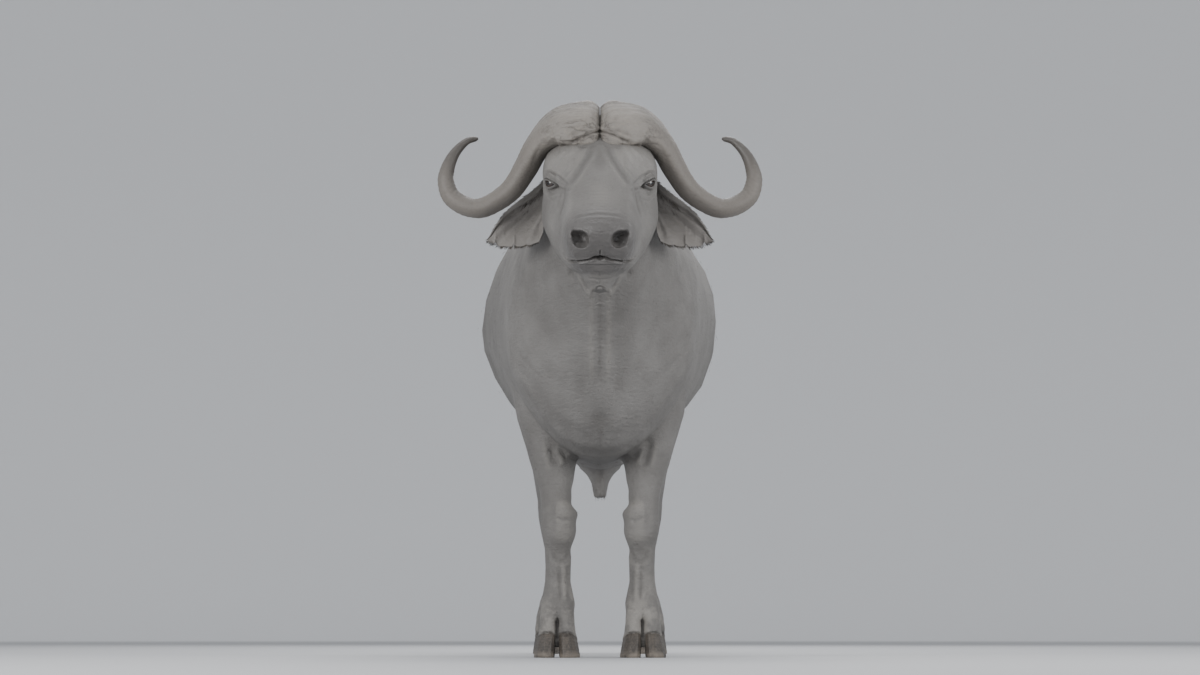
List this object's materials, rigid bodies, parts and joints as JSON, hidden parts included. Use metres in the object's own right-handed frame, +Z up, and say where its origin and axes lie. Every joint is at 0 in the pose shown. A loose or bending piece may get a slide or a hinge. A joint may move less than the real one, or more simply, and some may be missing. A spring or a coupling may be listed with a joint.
{
  "type": "african buffalo bull",
  "caption": "Life-size standing African buffalo bull with a broad horn boss, upswept horn tips, drooping ears, cloven hooves and a tufted tail, made as a still museum model.",
  "frame": {"origin": "on the floor, under the middle of the bull's length and width", "axes": "+Z up, the bull faces -Y, its left side is at +X"},
  "size_m": [0.9354, 2.7139, 1.6251],
  "materials": {
    "hide": "matt, short sparse hair over dusty slate-grey skin",
    "horn": "rough grey-brown horn, smoother and darker at the tips",
    "hoof": "satin dark horn",
    "eye": "wet, glossy dark brown",
    "hair": "coarse dark hair"
  },
  "bodies": {
    "root": {"torso": "hide", "neck": "hide", "sheath": "hide", "head": "hide", "lower_jaw": "hide", "eye_left": "eye", "horn_left": "horn", "ear_left": "hide", "eye_right": "eye", "horn_right": "horn", "ear_right": "hide", "foreleg_left_forearm": "hide", "foreleg_left_knee_and_cannon": "hide", "foreleg_left_pastern": "hide", "foreleg_left_claw_outer": "hoof", "foreleg_left_dewclaw_outer": "hoof", "foreleg_left_claw_inner": "hoof", "foreleg_left_dewclaw_inner": "hoof", "foreleg_right_forearm": "hide", "foreleg_right_knee_and_cannon": "hide", "foreleg_right_pastern": "hide", "foreleg_right_claw_outer": "hoof", "foreleg_right_dewclaw_outer": "hoof", "foreleg_right_claw_inner": "hoof", "foreleg_right_dewclaw_inner": "hoof", "hind_leg_left_thigh": "hide", "hind_leg_left_hock_and_cannon": "hide", "hind_leg_left_pastern": "hide", "hind_leg_left_claw_outer": "hoof", "hind_leg_left_dewclaw_outer": "hoof", "hind_leg_left_claw_inner": "hoof", "hind_leg_left_dewclaw_inner": "hoof", "hind_leg_right_thigh": "hide", "hind_leg_right_hock_and_cannon": "hide", "hind_leg_right_pastern": "hide", "hind_leg_right_claw_outer": "hoof", "hind_leg_right_dewclaw_outer": "hoof", "hind_leg_right_claw_inner": "hoof", "hind_leg_right_dewclaw_inner": "hoof", "tail_dock": "hide", "tail_tassel": "hair"}
  },
  "joints": []
}
